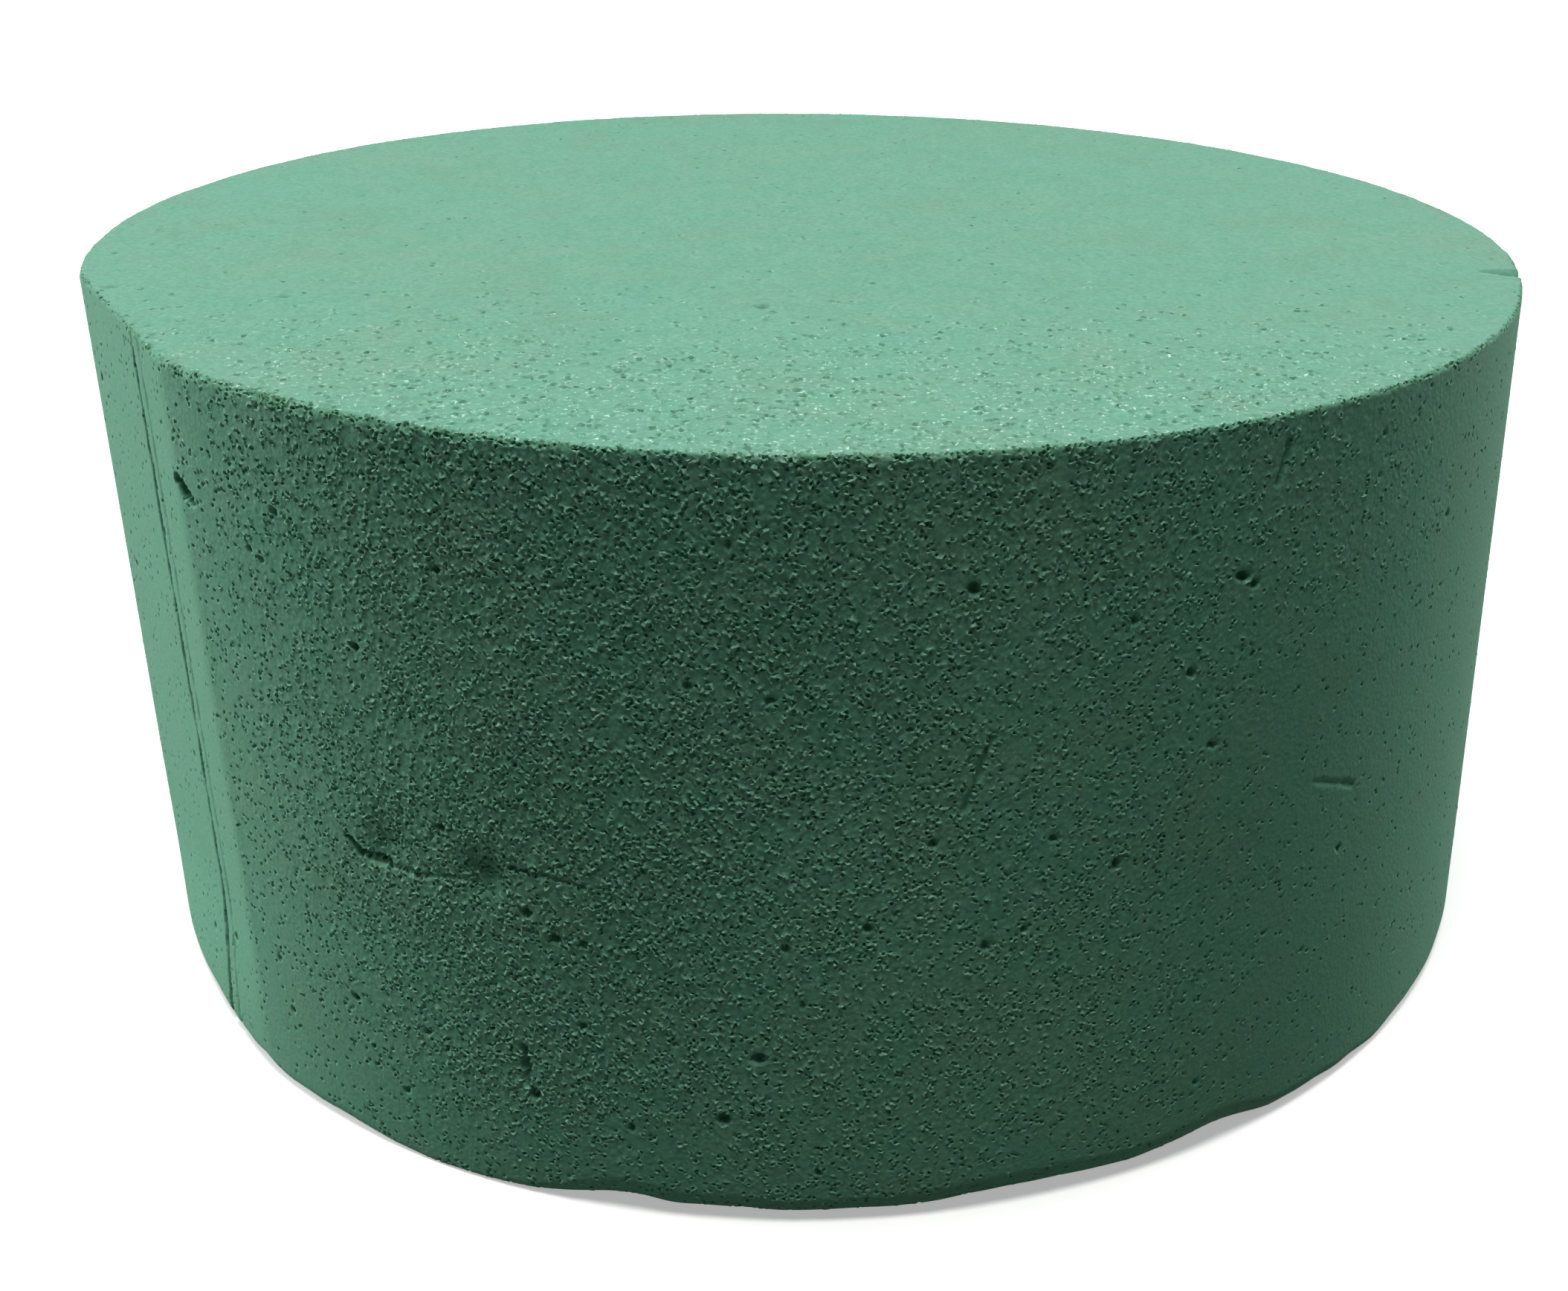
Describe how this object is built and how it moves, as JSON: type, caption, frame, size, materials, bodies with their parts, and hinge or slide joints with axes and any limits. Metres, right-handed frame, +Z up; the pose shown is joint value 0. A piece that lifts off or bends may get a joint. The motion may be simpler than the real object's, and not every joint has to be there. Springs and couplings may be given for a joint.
{
  "type": "round floral foam block",
  "caption": "Short round block of green open-cell wet floral foam, a base that holds cut flower stems in a bowl or tray.",
  "frame": {"origin": "middle of the base, on the surface that the block stands on", "axes": "+Z up along the axis of the round wall; +X towards the side where the top is lower; -Y is the front"},
  "size_m": [0.08, 0.08, 0.04],
  "materials": {
    "foam": "dry open-cell phenolic foam, matte and crumbly, with cut cells over the whole surface"
  },
  "bodies": {
    "root": {"foam_block": "foam"}
  },
  "joints": []
}
